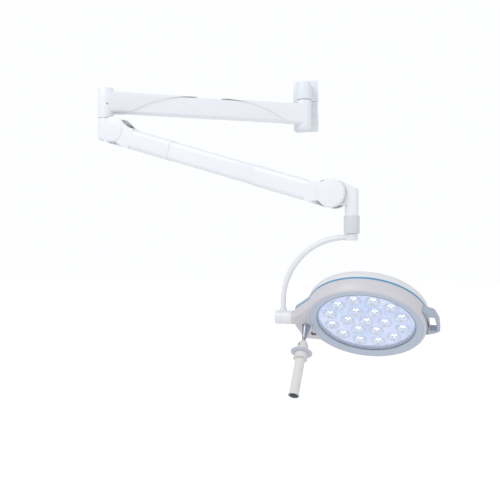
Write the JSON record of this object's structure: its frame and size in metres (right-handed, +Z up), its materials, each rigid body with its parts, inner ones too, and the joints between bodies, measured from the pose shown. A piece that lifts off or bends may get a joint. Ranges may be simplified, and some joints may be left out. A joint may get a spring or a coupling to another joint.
{
  "type": "wall-mounted surgical and dental examination light",
  "caption": "Wall-hung operating light: jointed arms with a balanced spring arm, a bow-carried round multi-lens lamp head, and a slip-on handle.",
  "frame": {"origin": "centre of the wall plate's mounting face", "axes": "+Y into the wall, -Y into the room, +Z up, +X to the right for someone who faces the wall"},
  "size_m": [1.1603, 0.7403, 1.0972],
  "materials": {
    "arm_white": "satin",
    "steel": "satin",
    "sleeve_grey": "satin",
    "casing_white": "satin",
    "trim_blue": "gloss",
    "bezel_blue": "satin",
    "handle_white": "satin",
    "dark": "matte",
    "glass": "clear",
    "tray": "satin",
    "board": "matte",
    "aluminium": "satin",
    "rubber": "matte",
    "bronze": "satin"
  },
  "bodies": {
    "wall_bracket": {"wall_plate": "steel", "bracket_casting": "arm_white", "lower_cover": "arm_white", "bracket_screws": "steel", "wall_shaft": "steel", "wall_thrust_washer": "bronze", "wall_retaining_ring": "steel"},
    "extension_arm": {"wall_hub_fitting": "arm_white", "extension_beam": "arm_white", "elbow_hub_fitting": "arm_white", "hub_bushes": "bronze", "elbow_top_cap": "arm_white", "wall_hub_bottom_cap": "arm_white", "hub_brake_screws": "steel"},
    "elbow": {"elbow_knuckle": "arm_white", "elbow_shaft": "steel", "elbow_thrust_washer": "bronze", "elbow_retaining_ring": "steel"},
    "spring_arm": {"arm_tube": "steel", "rear_yoke": "steel", "front_yoke": "steel", "rear_cover": "arm_white", "middle_cover": "arm_white", "front_cover": "arm_white", "side_caps": "arm_white", "rear_pin": "steel", "front_pin": "steel", "spring_seat": "steel"},
    "link": {"levelling_link": "steel"},
    "rod": {"pull_rod": "steel", "spring_nut": "steel", "balance_spring": "steel"},
    "knuckle": {"front_knuckle": "arm_white", "front_sleeve": "sleeve_grey", "spigot_bushes": "bronze"},
    "bow": {"bow_spigot": "arm_white", "spigot_ring": "steel", "bow_tube": "arm_white", "bow_eye": "arm_white", "eye_cap": "arm_white", "eye_bushes": "bronze"},
    "head": {"rear_shell": "casing_white", "trim_ring": "trim_blue", "front_casing": "casing_white", "bezel": "bezel_blue", "window": "glass", "window_seal": "rubber", "lens_tray": "tray", "lenses": "glass", "led_board": "board", "heat_sink": "aluminium", "side_grip": "bezel_blue", "tilt_axle": "steel", "handle_stem": "steel", "casing_screws": "steel"},
    "handle": {"handle_hub": "handle_white", "guard_disc": "handle_white", "grip_sleeve": "handle_white"},
    "button": {"release_button": "steel"},
    "rocker": {"rocker_key": "dark"}
  },
  "joints": [
    {"name": "wall_swivel", "type": "hinge", "parent": "wall_bracket", "child": "extension_arm", "pos_m": [0, -0.07, 0], "axis": [0, 0, 1], "range_deg": [-28, 146]},
    {"name": "elbow_swivel", "type": "hinge", "parent": "extension_arm", "child": "elbow", "pos_m": [-0.64288, -0.45628, -0.095], "axis": [0, 0, 1], "range_deg": [-250, 24]},
    {"name": "spring_arm_pitch", "type": "hinge", "parent": "elbow", "child": "spring_arm", "pos_m": [-0.59732, -0.46268, -0.143], "axis": [0.1392, 0.9903, 0], "range_deg": [-47, 24]},
    {"name": "levelling_link_swing", "type": "hinge", "parent": "elbow", "child": "link", "pos_m": [-0.59485, -0.44505, -0.169], "axis": [0.1392, 0.9903, 0], "range_deg": [-47, 24]},
    {"name": "pull_rod_swing", "type": "hinge", "parent": "elbow", "child": "rod", "pos_m": [-0.5998, -0.48031, -0.123], "axis": [0.1392, 0.9903, 0], "range_deg": [-47, 24], "deforming": ["balance_spring"]},
    {"name": "front_level", "type": "hinge", "parent": "spring_arm", "child": "knuckle", "pos_m": [0.16028, -0.56915, -0.3769], "axis": [0.1392, 0.9903, 0], "range_deg": [-24, 47]},
    {"name": "bow_swivel", "type": "hinge", "parent": "knuckle", "child": "bow", "pos_m": [0.21969, -0.5775, -0.5139], "axis": [0, 0, 1], "range_deg": [-150, 150]},
    {"name": "head_tilt", "type": "hinge", "parent": "bow", "child": "head", "pos_m": [-0.00088, -0.55237, -0.7689], "axis": [0.9936, -0.1132, 0], "range_deg": [-96.5, 173.5]},
    {"name": "handle_turn", "type": "hinge", "parent": "head", "child": "handle", "pos_m": [0.07172, -0.60415, -0.8393], "axis": [-0.0705, -0.6185, -0.7826], "range_deg": [-60, 60]},
    {"name": "release_button_press", "type": "slide", "parent": "handle", "child": "button", "axis": [0.4543, 0.6786, -0.5772], "range_m": [0, 0.0015], "stiffness_N_per_m": 800, "springref_m": -0.0005},
    {"name": "rocker_tip", "type": "hinge", "parent": "head", "child": "rocker", "pos_m": [0.09454, -0.52758, -0.82073], "axis": [0.0886, 0.7776, -0.6225], "range_deg": [-4, 4], "stiffness_Nm_per_rad": 0.5}
  ],
  "couplings": [
    {"joint": "levelling_link_swing", "follows": "spring_arm_pitch", "ratio": 1},
    {"joint": "pull_rod_swing", "follows": "spring_arm_pitch", "ratio": 1},
    {"joint": "front_level", "follows": "spring_arm_pitch", "ratio": -1}
  ]
}
